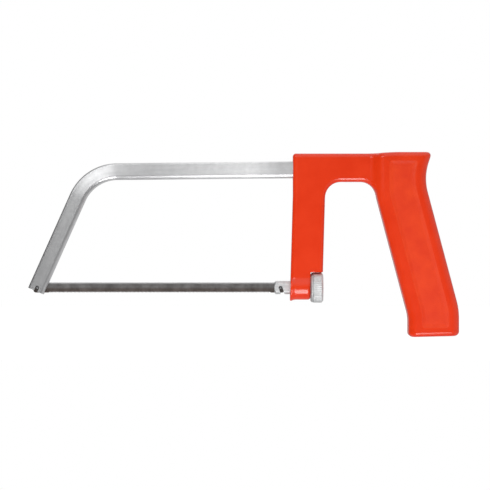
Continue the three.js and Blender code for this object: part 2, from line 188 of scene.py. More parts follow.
def add_node(kind, out=0, settings=None, tree=None, **inputs):
    """
    A link to one output of a new node, in the given tree or else in that of its inputs.
    Words name the node's inputs, and i0, i1 and so on number them.
    """
    tree = tree or next(value.socket.id_data for value in inputs.values() if isinstance(value, Link))
    node = tree.nodes.new(kind)
    for key, value in (settings or {}).items():
        setattr(node, key, value)
    for key, value in inputs.items():
        place = int(key[1:]) if key[1:].isdigit() else key.replace("_", " ")
        plug(node.inputs[place], value)
    return Link(node.outputs[out]) if node.outputs else None


# %% Sums on links


def calc(operation, *values):
    """One operation, such as MAXIMUM, on links and plain numbers."""
    inputs = {f"i{k}": value for k, value in enumerate(values)}
    return add_node("ShaderNodeMath", settings={"operation": operation}, **inputs)


def spread(value, low, high, to_low=0.0, to_high=1.0, **settings):
    """A value carried from one range to another, and held at its ends."""
    ends = {"From_Min": low, "From_Max": high, "To_Min": to_low, "To_Max": to_high}
    return add_node("ShaderNodeMapRange", settings=settings, Value=value, **ends)


def split(vector):
    """The X, Y and Z of a vector."""
    return [add_node("ShaderNodeSeparateXYZ", axis, Vector=vector) for axis in "XYZ"]


def mix_values(factor, low, high):
    """A number between two, by a factor from 0 to 1."""
    return add_node("ShaderNodeMix", i0=factor, i2=low, i3=high)


def mix_colours(factor, low, high):
    """A colour between two, by a factor from 0 to 1. Each is a link or three numbers."""
    low, high = [(*colour, 1) if isinstance(colour, tuple) else colour for colour in (low, high)]
    return add_node("ShaderNodeMix", 2, {"data_type": "RGBA"}, i0=factor, i6=low, i7=high)


# %% Helpers for materials


def new_finish(name, roughness, metallic=0.0, anisotropy=0.0):
    """A material with a Principled shader: its tree, and a helper that sets the shader."""
    material = bpy.data.materials.new(name)
    material.use_nodes = True
    shader = material.node_tree.nodes["Principled BSDF"]

    def finish(**inputs):
        for key, value in inputs.items():
            plug(shader.inputs[key.replace("_", " ")], value)
        return material

    finish(Roughness=roughness, Metallic=metallic, Anisotropic=anisotropy)
    finish(Anisotropic_Rotation=0.25 if anisotropy else 0.0)
    return material.node_tree, finish


def object_place(tree):
    """The place on the piece, in metres."""
    return add_node("ShaderNodeTexCoord", "Object", tree=tree)


def noise(place, scale, detail=4.0, roughness=0.55):
    """A noise pattern; its scale counts blotches in each unit of the place."""
    inputs = {"Vector": place, "Scale": scale, "Detail": detail, "Roughness": roughness}
    return add_node("ShaderNodeTexNoise", "Fac", **inputs)


def streaks(place, counts, detail):
    """Noise drawn out to streaks: so many blotches in a metre along each direction of the place."""
    return noise(add_node("ShaderNodeMapping", Vector=place, Scale=counts), 1.0, detail)


def bumps(height, distance, **under):
    """A bump of a real depth in metres, on top of another one if a Normal is given."""
    return add_node("ShaderNodeBump", Height=height, Distance=distance, Strength=1.0, **under)


# %% [markdown]
# ## Red lacquer
# The casting is dipped or sprayed in a thick gloss lacquer. It levels out, but not fully: a soft ripple
# stays, as on orange peel. The sunk panels were cast rough, so the lacquer follows a fine grain there and
# looks duller; their red is painted lighter and mottled, a painted sheen for the light that the grain
# scatters. A mesh attribute, written with the handle's mesh, says where the panels are.

# %% The lacquer


def red_lacquer():
    tree, finish = new_finish("red_lacquer", roughness=0.2)
    place = object_place(tree)
    panel = add_node("ShaderNodeAttribute", "Fac", {"attribute_name": "panel"}, tree)

    cloud = noise(place, 60, detail=3)
    grain = noise(place, 900, detail=2)
    ripple = noise(place, 420, detail=1)
    sheen_mottle = noise(place, 110, detail=5, roughness=0.6)
    smooth_red = mix_colours(spread(cloud, 0.35, 0.65), (0.665, 0.03, 0.002), (0.71, 0.036, 0.003))
    # Painted sheen: the panels' red is lighter and mottled, standing in for light that their grain scatters.
    panel_red_and_sheen = mix_colours(spread(sheen_mottle, 0.35, 0.65), (0.675, 0.032, 0.002), (0.735, 0.046, 0.004))
    colour = mix_colours(panel, smooth_red, panel_red_and_sheen)

    gloss = mix_values(panel, spread(cloud, 0.3, 0.7, 0.18, 0.23), 0.3)
    peel = bumps(ripple, 0.000005)
    normal = bumps(grain * panel, 0.00006, Normal=peel)
    return finish(Base_Color=colour, Roughness=gloss, Normal=normal, Specular_IOR_Level=0.55)


lacquer = red_lacquer()
print("finish:", lacquer.name)

# %% [markdown]
# ## Plated bar
# Bar stock is drawn through a die and then polished along its length, so it carries fine lines that way.
# They spread light across the bar and not along it, which the shader's anisotropy does once it knows the
# direction. The bar's UV map gives that: U runs along the bar, and V round its section from the outer edge
# by the inner one and back. The colour carries painted light too: a painted sheen lightens the bow's middle
# and, half as much, its bend; painted streaks of reflection darken lines across the bend; and painted shade
# darkens the outer rounding past the bend, the inner roundings, and the leg towards its foot.

# %% Shades of the bar
inner_edge_middle = 0.016


def bar_colour(level, x):
    """Cloudy plating with a painted sheen: lighter in the bow's middle and half as light round its bend."""
    cloudy = mix_colours(level, (0.51, 0.513, 0.52), (0.7, 0.703, 0.71))
    painted_sheen = mix_colours(level, (0.75, 0.753, 0.76), (0.98, 0.983, 0.99))
    middle = spread(x, -0.055, 0.0) * spread(x, 0.006, 0.022, 1.0, 0.0)
    bend = spread(x, -0.064, -0.08, 0.0, 0.5)
    return mix_colours(calc("MAXIMUM", middle, bend), cloudy, painted_sheen)


def painted_bend_streaks(uv, x, z):
    """How strongly painted streaks of reflection, darker lines, show across the bend at a place."""
    in_bend = spread(x, -0.066, -0.08) * spread(z, 0.078, 0.09)
    return in_bend * spread(streaks(uv, (9.0, 520.0, 1.0), 2), 0.48, 0.56, 0.0, 0.75)


def painted_shade_places(around, x, z):
    """Painted shade on the bar: its outer rounding past the bend, its inner ones, and down the leg."""
    off_inner = calc("ABSOLUTE", around - inner_edge_middle)
    outer = spread(off_inner, 0.0084, 0.0096) * spread(x, -0.066, -0.112)
    beside = spread(off_inner, 0.0082, 0.0072)
    below = spread(off_inner, 0.0058, 0.0035, 1.0, 0.1)
    inner = beside * below * spread(x, -0.085, -0.065, 0.5, 0.85)
    down = spread(z, 0.088, 0.035, 0.03, 0.25)
    return calc("MAXIMUM", calc("MAXIMUM", outer, inner), down)


# %% The bar's finish


def brushed_bar():
    tree, finish = new_finish("plated_bar", roughness=0.3, metallic=0.8, anisotropy=0.8)
    uv = add_node("ShaderNodeUVMap", "UV", {"uv_map": "along_bar"}, tree)
    place = object_place(tree)
    x, _, z = split(place)
    around = split(uv)[1]

    fine = streaks(uv, (25.0, 2600.0, 1.0), 3)
    broad = streaks(uv, (9.0, 600.0, 1.0), 2)
    mean = (fine + broad + noise(place, 260)) / 3.0

    plain = bar_colour(spread(mean, 0.38, 0.62), x)
    # Painted streaks of reflection: darker lines across the bright bend.
    streaked = mix_colours(painted_bend_streaks(uv, x, z), plain, (0.33, 0.33, 0.34))
    # Painted shade: the roundings and the leg towards its foot are darkened in colour.
    colour = mix_colours(painted_shade_places(around, x, z), streaked, (0.3, 0.3, 0.305))
    gloss = spread(mean, 0.3, 0.7, 0.35, 0.27)
    lengthwise = {"direction_type": "UV_MAP", "uv_map": "along_bar"}
    tangent = add_node("ShaderNodeTangent", settings=lengthwise, tree=tree)
    return finish(Base_Color=colour, Roughness=gloss, Normal=bumps(fine, 0.000006), Tangent=tangent)


bar_finish = brushed_bar()
print("finish:", bar_finish.name)

# %% [markdown]
# ## Turned steel and blade steel
# The screw, the nut and the washer are plated, and the pins are bare: the same fine speckle does for both,
# in other greys. The blade is hardened and comes out dark, browner towards the teeth where it was heated,
# and lighter in a band along its back edge. It has grinding lines along its length.

# %% Turned steel and blade steel


def turned_steel(name, dark, light, roughness):
    tree, finish = new_finish(name, roughness=roughness, metallic=0.85)
    place = object_place(tree)
    speck = noise(place, 2600, detail=2)
    colour = mix_colours(spread(noise(place, 380), 0.35, 0.65), dark, light)
    gloss = spread(speck, 0.3, 0.7, roughness - 0.06, roughness + 0.08)
    return finish(Base_Color=colour, Roughness=gloss, Normal=bumps(speck, 0.000002))


def blade_steel(back_height, tooth_height):
    tree, finish = new_finish("blade_steel", roughness=0.4, metallic=0.85)
    place = object_place(tree)
    up = spread(split(place)[2], tooth_height, back_height)
    lines = streaks(place, (120.0, 900.0, 2200.0), 3)
    cloud = spread(noise(place, 130), 0.35, 0.65)
    grey = mix_colours(cloud, (0.135, 0.13, 0.128), (0.245, 0.238, 0.236))
    brown = mix_colours(cloud, (0.10, 0.083, 0.075), (0.16, 0.136, 0.127))
    body = mix_colours(spread(up, 0.55, 0.35), grey, brown)
    # Lighter in a band along the back edge.
    colour = mix_colours(spread(up, 0.82, 0.94), body, (0.5, 0.5, 0.505))
    gloss = spread(lines, 0.3, 0.7, 0.34, 0.48)
    return finish(Base_Color=colour, Roughness=gloss, Normal=bumps(lines, 0.000006))


bright_finish = turned_steel("plated_steel", (0.66, 0.67, 0.675), (0.77, 0.78, 0.785), 0.55)
pin_finish = turned_steel("pin_steel", (0.22, 0.22, 0.223), (0.3, 0.3, 0.304), 0.4)
blade_low, blade_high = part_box("saw_blade")
blade_finish = blade_steel(blade_high.z, blade_low.z)
print("finishes:", bright_finish.name, pin_finish.name, blade_finish.name)

# %% [markdown]
# ## The bow: a bar bent on edge
# The bow is one flat bar, bent in its stiff direction. A curve with a bevel would keep the bar's section
# the same all the way round. A real bar doesn't: on the inside of such a bend the steel is pushed together
# and swells, and on the outside it is stretched and thins. So the bar is swept ring by ring, and
# the bend's share of each ring changes its thickness.

# %% Sizes of the bow
bow_low, bow_high = node_box("bow")
front_pin_low, front_pin_high = node_box("front_blade_pin")
rear_pin_low, rear_pin_high = node_box("rear_blade_pin")
front_pin = (front_pin_low + front_pin_high) / 2
rear_pin = (rear_pin_low + rear_pin_high) / 2
bar_depth = 10
bar_thickness = bow_high[1] - bow_low[1]
outer_edge = 1.3
inner_edge = 2.6
bow_height = 70.2
bow_rise = math.radians(0.57)
bend_radius = 26
leg_angle = math.radians(90 - 24.1)
toe_length = 2.2
swell = 0.09
tang_end = bow_high[0]
print(f"bar: {bar_depth} by {bar_thickness:.1f} mm, tang ends at {tang_end:.1f} mm")


def bar_axis(x):
    """Height of the bar's axis over a place along the saw."""
    return bow_height + math.tan(bow_rise) * x


# %% A path with rounded corners


def round_corners(corners, closed=True, arc_step=math.radians(3)):
    """The points of a path whose corners (x, z, radius) are rounded by arcs."""
    points = []
    for i, (x, z, radius) in enumerate(corners):
        corner = Vector((x, z))
        at_end = not closed and i in (0, len(corners) - 1)
        if radius == 0 or at_end:
            points.append(corner)
            continue
        back = (Vector(corners[i - 1][:2]) - corner).normalized()
        ahead = (Vector(corners[(i + 1) % len(corners)][:2]) - corner).normalized()
        half = back.angle(ahead) / 2
        turn = math.pi - 2 * half
        side = math.copysign(1, ahead.cross(back))
        centre = corner + (back + ahead).normalized() * (radius / math.sin(half))
        spoke = corner + back * (radius / math.tan(half)) - centre
        count = math.ceil(turn / arc_step)
        for k in range(count + 1):
            points.append(centre + Matrix.Rotation(side * turn * k / count, 2) @ spoke)
    return np.array(points)


# %% Rings along the bar


def bow_rings():
    """Places along the bar's axis, with the direction there and the bend's share of swelling."""
    reach = 1 / math.tan(leg_angle)
    corner_x = (front_pin[0] + bow_height * reach) / (1 - math.tan(bow_rise) * reach)
    toe = (front_pin[0] - toe_length * math.cos(leg_angle), -toe_length * math.sin(leg_angle), 0)
    bend = (corner_x, bar_axis(corner_x), bend_radius)
    axis = round_corners([toe, bend, (tang_end, bar_axis(tang_end), 0)], closed=False)
    last = len(axis) - 3
    rings = []
    for i, (x, z) in enumerate(axis):
        share = min(max((i - 1) / last, 0), 1)
        angle = leg_angle + (bow_rise - leg_angle) * share
        rings.append((x, z, angle, math.sin(math.pi * share) ** 0.5 if 0 < share < 1 else 0))
    return rings


def bar_section(bend):
    """The bar's section as (out, across) points, thicker towards the inside of a bend."""
    half_depth, half_across = bar_depth / 2, bar_thickness / 2
    corners = [
        (half_depth, half_across, outer_edge),
        (-half_depth, half_across, inner_edge),
        (-half_depth, -half_across, inner_edge),
        (half_depth, -half_across, outer_edge),
    ]
    outline = round_corners(corners, arc_step=math.radians(10))
    outline[:, 1] *= 1 - swell * bend * outline[:, 0] / half_depth
    return outline


# %% Sweep the bar


def sweep_bow():
    points, lengths, travelled, previous = [], [], 0.0, None
    for x, z, angle, bend in bow_rings():
        if previous is not None:
            travelled += math.dist(previous, (x, z))
        previous = (x, z)
        lengths.append(travelled)
        for out, across in bar_section(bend):
            points.append((x - math.sin(angle) * out, -across, z + math.cos(angle) * out))
    count = len(points) // len(lengths)
    return mesh_object("bow_bar", points, tube(len(lengths), count)), lengths, count


bow, bow_lengths, ring_count = sweep_bow()
print("bar swept:", len(bow_lengths), "rings of", ring_count, "points")

# %% [markdown]
# The shader needs to know which way the bar runs. A UV map written face by face says it: U is the length
# along the axis. V counts the points round the section, so that the roundings get most of it and their
# shades can change softly. The map is written before the slot is cut, and the cut keeps it.

# %% UV along the bar


def write_bar_map():
    layer = bow.data.uv_layers.new(name="along_bar")
    around = 2 * (bar_depth + bar_thickness)
    for face in bow.data.polygons:
        spots = [divmod(bow.data.loops[i].vertex_index, ring_count) for i in face.loop_indices]
        wraps = max(k for _, k in spots) - min(k for _, k in spots) > ring_count / 2
        for loop, (ring, k) in zip(face.loop_indices, spots):
            turn = (k + ring_count if wraps and k == 0 else k) / ring_count
            layer.data[loop].uv = (bow_lengths[ring] * mm, turn * around * mm)


write_bar_map()
print(f"mapped {bow_lengths[-1]:.0f} mm of bar")

# %% [markdown]
# ## Slot, groove and pin hole
# The toe is sawn lengthwise for the blade and milled across for the blade's cross pin, so that the pin
# hooks in from below. The tang is drilled for the lock pin. The exact boolean makes such cuts cleanly, and
# the cutters are plain drawings, extruded. Weighted normals then let the large faces lead the shading, so
# that the flat sides look flat right up to their rounded edges.

# %% Drawings for cutters
slot_gap = 0.3
pin_gap = 0.1
pin_radius = (rear_pin_high[0] - rear_pin_low[0]) / 2
blade_gauge = 0.65
blade_depth = (blade_high.z - blade_low.z) / mm
slot_width = blade_gauge + 2 * slot_gap
slot_spare = 1.5
cut_margin = 5
lock_low, lock_high = node_box("bow_lock_pin")
lock_x, _, lock_z = (lock_low + lock_high) / 2
lock_radius = (lock_high[2] - lock_low[2]) / 2


def prism(name, outline, near, far):
    """A drawing in the XZ plane, made solid from one Y to another."""
    points = [(x, y, z) for y in (near, far) for x, z in outline]
    piece = mesh_object(name, points, tube(2, len(outline)))
    shade(piece)
    return piece


def circle(x, z, radius, count=32):
    """Points round a circle in the XZ plane."""
    turns = np.linspace(0, 2 * math.pi, count, endpoint=False)
    return [(x + radius * math.cos(t), z + radius * math.sin(t)) for t in turns]


def turn_outline(outline, angle, x, z):
    """A drawing turned round its origin and then put in its place."""
    cos, sin = math.cos(angle), math.sin(angle)
    return [(x + cos * a - sin * b, z + sin * a + cos * b) for a, b in outline]


def groove_outline(radius, length):
    """A slot that is round at its inner end and open below."""
    arc = [(radius * math.cos(t), radius * math.sin(t)) for t in np.linspace(0, math.pi, 17)]
    return [(-radius, -length), (radius, -length), *arc]


# %% Cut the toe and the tang


def cut_with(piece, *cutters):
    """Subtracts each cutter from the piece, and removes the cutters."""
    for cutter in cutters:
        modifier = piece.modifiers.new(cutter.name, "BOOLEAN")
        modifier.operation = "DIFFERENCE"
        modifier.solver = "EXACT"
        modifier.object = cutter
    bake_modifiers(piece)
    for cutter in cutters:
        bpy.data.objects.remove(cutter)


def cut_bow():
    lean = math.pi / 2 - leg_angle
    top = (blade_depth / 2 + bar_depth / 2 * math.cos(leg_angle)) / math.sin(leg_angle) + slot_spare
    wide = bar_depth / 2 + cut_margin
    low = -toe_length - cut_margin
    slot = [(-wide, low), (wide, low), (wide, top), (-wide, top)]
    slot = turn_outline(slot, -lean, front_pin[0], front_pin[2])
    groove = groove_outline(pin_radius + pin_gap, toe_length + cut_margin)
    groove = turn_outline(groove, -lean, front_pin[0], front_pin[2])
    hole = circle(lock_x, lock_z, lock_radius + seat_gap)
    across = bar_thickness
    cut_with(
        bow,
        prism("slot_cutter", slot, -slot_width / 2, slot_width / 2),
        prism("groove_cutter", groove, -across, across),
        prism("lock_cutter", hole, -across, across),
    )


def flatten_sides(piece):
    """Lets large faces lead the shading."""
    modifier = piece.modifiers.new("large_faces_lead", "WEIGHTED_NORMAL")
    modifier.keep_sharp = True
    bake_modifiers(piece)


cut_bow()
shade(bow)
flatten_sides(bow)
dress(bow, "bow", "frame", bar_finish)

# %% [markdown]
# ## The handle: a casting from a distance field
# A casting has no sharp inner corner: arm, post, boss and grip flow together in fillets. Subdivision would
# need a hand-made net of faces at every junction, and bevels after a boolean often fail there. A distance
# field says for each point how far it is from the surface, below zero inside. Two fields join, meet or cut
# by a short formula that rounds the edge as it goes, so the casting is written the way a patternmaker
# thinks of it.

# %% Joining fields with rounded edges


def join_round(a, b, radius):
    """Both bodies, with a fillet in the corner between them."""
    corner = np.hypot(np.maximum(radius - a, 0), np.maximum(radius - b, 0))
    return np.maximum(np.minimum(a, b), radius) - corner


def meet_round(a, b, radius):
    """What two bodies share, with a rounded edge."""
    return -join_round(-a, -b, radius)


def cut_round(body, tool, radius):
    """A body without what a tool takes away, with a rounded edge."""
    return meet_round(body, -tool, radius)


def join_shallow(a, b, radius, turn):
    """Both sides of a hollow bend in an outline, which turns by a small angle on a radius."""
    width = 4 * radius * (1 / math.cos(turn / 2) - 1)
    near = np.maximum(width - np.abs(a - b), 0) / width
    return np.minimum(a, b) - near**2 * width / 4


def meet_shallow(a, b, radius, turn):
    """What the two sides of a bulging bend share, which turns by a small angle on a radius."""
    return -join_shallow(-a, -b, radius, turn)


def ease(share):
    """A share from 0 to 1 that starts and ends gently."""
    share = np.clip(share, 0, 1)
    return share**2 * (3 - 2 * share)


# %% [markdown]
# The grip leans back from the post, with an upright band at the butt and a hollow under the beak where the
# web of the thumb sits. From the side its front and its rear are straight lines with arcs between them, so
# each line is a field of its own. Where the outline bulges they meet, and where it is hollow they join.

# %% Outline of the grip
handle_low, handle_high = node_box("handle")
grip_top, butt_level = handle_high[2], handle_low[2]
arm_top = grip_top - 0.8
arm_under = bow_height - bar_depth / 2 - 2
post_width = 19.2
post_lean = math.tan(math.radians(1.6))
knee_level = arm_under - 8.2
grip_front = post_lean * knee_level + post_width + 30.3
grip_depth = 31.2
grip_lean = math.radians(14.9)
thumb_level = grip_top - 15
beak_lean = math.radians(18)
band_front, band_rear = 12.4, 16.4
knee_radius, band_radius = 20, 27
thumb_radius, heel_radius = 30, 40


def lean_line(z):
    """Where the leaning front of the grip runs at a height."""
    return grip_front + math.tan(grip_lean) * (knee_level - z)


band_front_x = lean_line(butt_level + band_front)
band_rear_x = lean_line(butt_level + band_rear) + grip_depth
thumb_x = lean_line(thumb_level) + grip_depth
print(f"grip: {grip_top - butt_level:.1f} mm high, front at {grip_front:.1f} mm")


def grip_faces(x, z):
    """Distance in front of the grip's front and behind its rear."""
    leaning = (lean_line(z) - x) * math.cos(grip_lean)
    front = meet_shallow(grip_front - x, leaning, knee_radius, grip_lean)
    front = join_shallow(front, band_front_x - x, band_radius, grip_lean)
    beak = (x - thumb_x - math.tan(beak_lean) * (z - thumb_level)) * math.cos(beak_lean)
    back = (x - lean_line(z) - grip_depth) * math.cos(grip_lean)
    rear = join_shallow(beak, back, thumb_radius, beak_lean + grip_lean)
    rear = meet_shallow(rear, x - band_rear_x, heel_radius, grip_lean)
    return front, rear


# %% [markdown]
# Each flank has a sunk panel with softly sloping sides, a border's width inside the grip's outline. Its
# depth is part of the flank's field. The top of the handle rises gently from the arm to the grip, and the
# butt is cut at a slight tilt.

# %% The grip's body
grip_half = handle_high[1]
grip_edge, top_edge, butt_edge = 5.0, 3.0, 2.8
butt_tilt = math.tan(math.radians(1.4))
rise_start, rise_length = 6, 20
panel_depth = 0.3
panel_slope = 3.2
panel_corner = 2.5
front_border, rear_border = 7.0, 5.6
top_border, butt_border = 4.4, 4.7


def panel_share(front, rear, z):
    """From 0 at the rim of the sunk panel to 1 on its floor."""
    ends = np.maximum(z - grip_top + top_border, butt_level + butt_border - z)
    sides = meet_round(front + front_border, rear + rear_border, panel_corner)
    return ease(-meet_round(sides, ends, panel_corner) / panel_slope)


def top_level(x):
    """Height of the handle's top."""
    return arm_top + (grip_top - arm_top) * ease((x - grip_front + rise_start) / rise_length)


def grip_field(x, y, z):
    front, rear = grip_faces(x, z)
    flank = np.abs(y) - grip_half + panel_depth * panel_share(front, rear, z)
    body = np.maximum(meet_round(front, flank, grip_edge), meet_round(rear, flank, grip_edge))
    body = meet_round(body, z - top_level(x), top_edge)
    return meet_round(body, butt_level + butt_tilt * (x - band_front_x) - z, butt_edge)


# %% [markdown]
# The arm over the bar's tang and the post in front are flat and of one thickness. Near the grip and near
# the round boss the flat sides swell into fillets. So the thickness is a field too, which joins the grip
# and the boss, and only then is it trimmed by the outline. The boss lies flush with the post in front,
# where it flares into a lip, most of all below.

# %% Arm and post
arm_half = 5.5
arm_corner = 1.8
arch_roof = arm_under - 0.2
arch_post_radius, arch_grip_radius = 9.5, 9.2


def arm_outline(x, z):
    """The arm and the post seen from the side."""
    post_front = post_lean * np.minimum(z, knee_level)
    arch = join_round(x - post_front - post_width, arch_roof - z, arch_post_radius)
    arch = join_round(arch, grip_faces(x, z)[0], arch_grip_radius)
    body = meet_round(z - top_level(x), post_front - x, arm_corner)
    inside_grip = np.maximum(x - grip_front - grip_depth / 2, -z)
    return np.maximum(np.maximum(body, arch), inside_grip)


# %% Boss and casting
cast_edge = 2.6
grip_fillet, boss_fillet = 4.0, 5.0
boss_radius = 7.25
boss_turn = math.radians(40.6)
boss_front_edge, boss_end_edge = 0.9, 1.5
lip_radius, lip_length = 8.3, 3.0
lip_above, lip_curve = 0.3, 1.4
nut_roof = 9.06
roof_fillet, roof_edge = 0.2, 0.3


def boss_field(x, radial, z):
    front = post_lean * z - x
    share = np.clip(1 + front / lip_length, 0, 1)
    below = np.clip(-z / boss_radius, 0, 1)
    lip = lip_above + (1 - lip_above) * below**2
    flare = (lip_radius - boss_radius) * lip * share**lip_curve
    body = meet_round(radial - boss_radius - flare, x - boss_length, boss_end_edge)
    return meet_round(body, front, boss_front_edge)


def casting_field(x, y, z):
    radial = np.hypot(y, z)
    grip = grip_field(x, y, z)
    sides = join_round(np.abs(y) - arm_half, grip, grip_fillet)
    sides = join_shallow(sides, radial - boss_radius, boss_fillet, boss_turn)
    arm = meet_round(arm_outline(x, z), sides, cast_edge)
    recess = join_round(nut_roof - z, x - boss_length, roof_fillet)
    arm = meet_round(arm, recess, roof_edge)
    return np.minimum(np.minimum(arm, grip), boss_field(x, radial, z))


# %% [markdown]
# The cuts come last: the socket for the bar's tang, the screw's bore with its two flats, and the blind hole
# of the lock pin on the far side. Each leaves a small rounding at its mouth, where lacquer gathers.

# %% Cuts in the casting
socket_gap = 0.25
bore_gap = 0.2
bore_spare = 4
bolt_radius = (bolt_high.z - bolt_low.z) / 2 / mm
bolt_flats = 6.4
guide_length = 7
socket_mouth, hole_mouth = 0.4, 0.3


def socket_field(x, y, z):
    out = (z - bow_height - math.tan(bow_rise) * x) * math.cos(bow_rise)
    across = np.abs(y) - bar_thickness / 2 - socket_gap
    half = bar_depth / 2 + socket_gap
    upper = meet_round(out - half, across, outer_edge + socket_gap)
    lower = meet_round(-out - half, across, inner_edge + socket_gap)
    return np.maximum(np.maximum(upper, lower), x - tang_end - socket_gap)


def bore_field(x, y, z):
    flats = np.abs(y) - bolt_flats / 2 - bore_gap
    drill = np.maximum(np.hypot(y, z) - bolt_radius - bore_gap, x - boss_length - bore_spare)
    return np.maximum(drill, np.minimum(flats, guide_length - x))


def lock_field(x, y, z):
    drill = np.hypot(x - lock_x, z - lock_z) - lock_radius - seat_gap
    return np.maximum(drill, lock_low[1] - seat_gap - y)


def handle_field(x, y, z):
    body = cut_round(casting_field(x, y, z), socket_field(x, y, z), socket_mouth)
    body = cut_round(body, bore_field(x, y, z), hole_mouth)
    return cut_round(body, lock_field(x, y, z), hole_mouth)


# %% [markdown]
# A field isn't a mesh yet. The surface-nets method lays a grid over it, puts one point in each cell that
# the surface passes through, and joins the four cells round every grid edge that changes sides. The points
# are then slid along the field's slope onto the true surface, and the slope itself becomes the shading
# normal, so the fine grid never shows.

# %% Surface nets


def surface_nets(field, low, high, cell):
    """Points and quads of the closed surface where a field is zero."""
    axes = [np.arange(a - 2 * cell, b + 3 * cell, cell) for a, b in zip(low, high)]
    shape = [len(axis) for axis in axes]
    inside = np.broadcast_to(field(*np.ix_(*axes)), shape) < 0
    corners = np.zeros([n - 1 for n in shape], int)
    for i, j, k in itertools.product((0, 1), repeat=3):
        corners += inside[i : shape[0] - 1 + i, j : shape[1] - 1 + j, k : shape[2] - 1 + k]
    crossed = (corners > 0) & (corners < 8)
    number = np.cumsum(crossed).reshape(crossed.shape) - 1
    start = np.array([axis[0] for axis in axes])
    points = start + (np.argwhere(crossed) + 0.5) * cell
    quads = []
    for axis in range(3):
        second, third = (axis + 1) % 3, (axis + 2) % 3
        before = np.moveaxis(inside, axis, 0)[:-1]
        after = np.moveaxis(inside, axis, 0)[1:]
        for flip, changes in ((False, before & ~after), (True, after & ~before)):
            edges = np.argwhere(np.moveaxis(changes, 0, axis))
            ring = []
            for a, b in ((-1, -1), (0, -1), (0, 0), (-1, 0)):
                cells = edges.copy()
                cells[:, second] += a
                cells[:, third] += b
                ring.append(number[tuple(cells.T)])
            quads.append(np.stack(ring[::-1] if flip else ring, axis=1))
    return points, np.concatenate(quads)


# %% Settle the points


def field_slope(field, points, reach=0.02):
    """The field's gradient at each point."""
    slope = np.empty_like(points)
    for axis in range(3):
        shift = np.zeros(3)
        shift[axis] = reach
        slope[:, axis] = field(*(points + shift).T) - field(*(points - shift).T)
    return slope / (2 * reach)


def settle(field, points, cell, rounds=4):
    """Slides points onto the surface and returns them with their normals."""
    for _ in range(rounds):
        slope = field_slope(field, points)
        steep = np.maximum((slope**2).sum(1), 0.2)
        move = np.clip(field(*points.T) / steep, -cell / 2, cell / 2)
        points = points - move[:, None] * slope
    slope = field_slope(field, points)
    return points, slope / np.maximum(np.linalg.norm(slope, axis=1), 1e-6)[:, None]


# %% The handle's mesh
handle_cell = 0.6
grain_gain = 5


def make_handle():
    points, quads = surface_nets(handle_field, handle_low, handle_high, handle_cell)
    points, normals = settle(handle_field, points, handle_cell)
    piece = mesh_object("cast_handle", points, quads.tolist())
    x, y, z = points.T
    on_flank = np.abs(y) > grip_half - 2 * panel_depth
    sunk = np.minimum(grain_gain * panel_share(*grip_faces(x, z), z), 1) * on_flank
    mask = piece.data.attributes.new("panel", "FLOAT", "POINT")
    mask.data.foreach_set("value", sunk.astype(np.float32))
    piece.data.polygons.foreach_set("use_smooth", [True] * len(piece.data.polygons))
    piece.data.normals_split_custom_set_from_vertices(normals.tolist())
    return piece


dress(make_handle(), "handle", "frame", lacquer)

# %% [markdown]
# ## Turned pieces
# The washer and the blade's pins come off a lathe. A profile of radius and place, spun round an axis, is
# all they need, but each edge gets the chamfer or dome that a lathe hand leaves.

# %% Lathe


def turn_on_lathe(name, profile, centre, axis, count=64):
    """A closed profile of (radius, place) points, spun round the X or Y axis through a centre."""
    points, faces = [], []
    for k in range(count):
        angle = 2 * math.pi * k / count
        for radius, place in profile:
            u, v = radius * math.cos(angle), radius * math.sin(angle)
            points.append((place, u, v) if axis == "X" else (u, place, v))
    size = len(profile)
    for k, i in itertools.product(range(count), range(size)):
        here, there = k * size, (k + 1) % count * size
        following = (i + 1) % size
        if max(profile[i][0], profile[following][0]) > 1e-6:
            faces.append((here + i, here + following, there + following, there + i))
    piece = mesh_object(name, np.array(points) + centre, faces)
    work = bmesh.new()
    work.from_mesh(piece.data)
    bmesh.ops.remove_doubles(work, verts=work.verts, dist=1e-7)
    bmesh.ops.dissolve_degenerate(work, edges=work.edges, dist=1e-7)
    work.to_mesh(piece.data)
    work.free()
    shade(piece)
    return piece


# %% Washer and pins
washer_rim = 0.1
washer_front, washer_bevel = 0.9, 0.2
pin_crown = 0.8


def make_washer():
    low, high = node_box("thrust_washer")
    rim, hole, bevel = high[2] + washer_rim, bolt_radius + bore_gap, washer_bevel
    start, end = low[0], high[0]
    profile = [
        (hole, start + bevel), (hole + bevel, start),
        (rim - washer_front, start), (rim, start + washer_front),
        (rim, end - bevel), (rim - bevel, end),
        (hole + bevel, end), (hole, end - bevel),
    ]
    return turn_on_lathe("washer_disc", profile, (0, 0, 0), "X", count=96)


def make_pin(name, low, high):
    """A cross pin with domed ends."""
    radius, half = (high[0] - low[0]) / 2, (high[1] - low[1]) / 2
    arc = np.linspace(0, math.pi / 2, 9)
    dome = [(radius * math.cos(t), half - pin_crown + pin_crown * math.sin(t)) for t in arc]
    profile = dome + [(r, -place) for r, place in dome[::-1]]
    return turn_on_lathe(name, profile, (low + high) / 2, "Y", count=40)


dress(make_washer(), "thrust_washer", "frame", bright_finish)
toe_pin = make_pin("toe_pin", front_pin_low, front_pin_high)
tail_pin = make_pin("tail_pin", rear_pin_low, rear_pin_high)
dress(toe_pin, "front_blade_pin", "blade_set", pin_finish)
dress(tail_pin, "rear_blade_pin", "blade_set", pin_finish)

# %% [markdown]
# The lock pin is a spring pin: a strip of steel rolled into a tube that doesn't quite close. It is drawn as
# the outline of that strip and extruded. It sits in its blind hole on the far side, a little below the
# surface.

# %% Lock pin
lock_play, lock_wall, lock_slit = 0.05, 0.5, 0.6
lock_floor = 0.4


